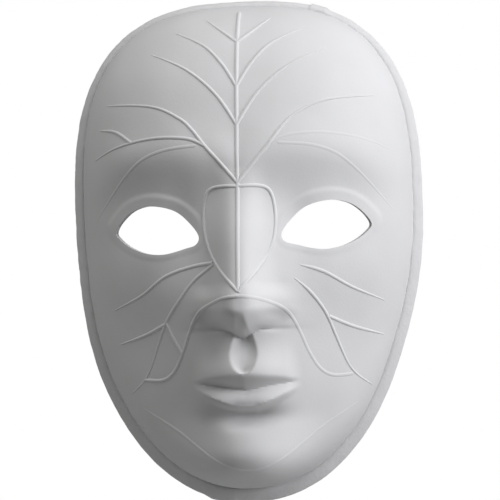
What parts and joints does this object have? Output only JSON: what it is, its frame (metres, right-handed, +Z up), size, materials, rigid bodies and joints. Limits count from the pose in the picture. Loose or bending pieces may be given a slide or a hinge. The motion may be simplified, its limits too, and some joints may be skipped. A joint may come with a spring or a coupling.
{
  "type": "full-face masquerade mask",
  "caption": "Full-face paper-pulp masquerade mask with almond eye openings, raised leaf-vein ribs over brow, nose and cheeks, and a folded edge binding.",
  "frame": {"origin": "centre of the rear opening, on the plane the binding's rear edge lies in", "axes": "+Z up towards the crown, +Y back through the wearer's head, so the face looks along -Y and +X is the viewer's right"},
  "size_m": [0.1686, 0.0843, 0.2423],
  "materials": {
    "pulp": "matt white moulded paper pulp, finely fibrous",
    "binding_paper": "matt white torn paper strip, slightly rougher",
    "rib_pulp": "matt white pulp cord, smoothed down"
  },
  "bodies": {
    "root": {"brow_line_left": "rib_pulp", "brow_line_right": "rib_pulp", "cheek_rib_1_left": "rib_pulp", "cheek_rib_1_right": "rib_pulp", "cheek_rib_2_left": "rib_pulp", "cheek_rib_2_right": "rib_pulp", "cheek_rib_3_left": "rib_pulp", "cheek_rib_3_right": "rib_pulp", "cheek_rib_4_left": "rib_pulp", "edge_binding_left": "binding_paper", "edge_binding_right": "binding_paper", "face_shell": "pulp", "forehead_rib_1_left": "rib_pulp", "forehead_rib_1_right": "rib_pulp", "forehead_rib_2_left": "rib_pulp", "forehead_rib_2_right": "rib_pulp", "forehead_rib_3_left": "rib_pulp", "forehead_rib_3_right": "rib_pulp", "forehead_rib_4_left": "rib_pulp", "forehead_rib_4_right": "rib_pulp", "forehead_rib_5_left": "rib_pulp", "forehead_rib_5_right": "rib_pulp", "jaw_line": "rib_pulp", "midrib": "rib_pulp", "mouth_frame_left": "rib_pulp", "mouth_frame_right": "rib_pulp", "nose_frame_left": "rib_pulp", "nose_frame_right": "rib_pulp", "temple_twig_left": "rib_pulp"}
  },
  "joints": []
}
